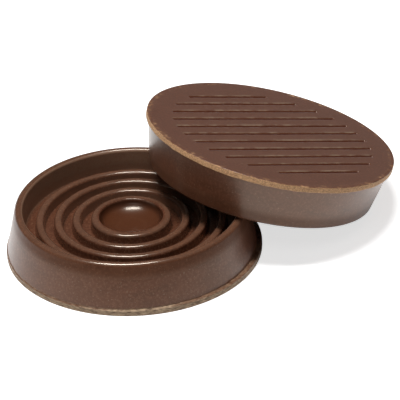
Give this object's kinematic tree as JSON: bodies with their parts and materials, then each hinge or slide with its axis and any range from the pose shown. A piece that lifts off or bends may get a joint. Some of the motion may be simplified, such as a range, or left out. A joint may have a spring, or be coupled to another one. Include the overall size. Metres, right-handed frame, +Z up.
{
  "type": "caster cup pair",
  "caption": "Round tapered rubber furniture cups with concentric seat ridges round a centre dish and a grooved underside; one stands, its mate leans upside down on its rim.",
  "frame": {"origin": "on the floor, under the middle of the pair's bounding box", "axes": "+Z up, away from the floor; +X along the pair's longest side, from the standing cup towards the leaning one"},
  "size_m": [0.1174, 0.098, 0.0345],
  "materials": {
    "brown_rubber": "satin moulded rubber with a rough trimmed edge round the base"
  },
  "bodies": {
    "standing": {"standing_cup": "brown_rubber"},
    "leaning": {"leaning_cup": "brown_rubber"}
  },
  "joints": [
    {"name": "lift_off", "type": "slide", "parent": "standing", "child": "leaning", "axis": [0, 0, 1], "range_m": [0, 0.04]}
  ]
}
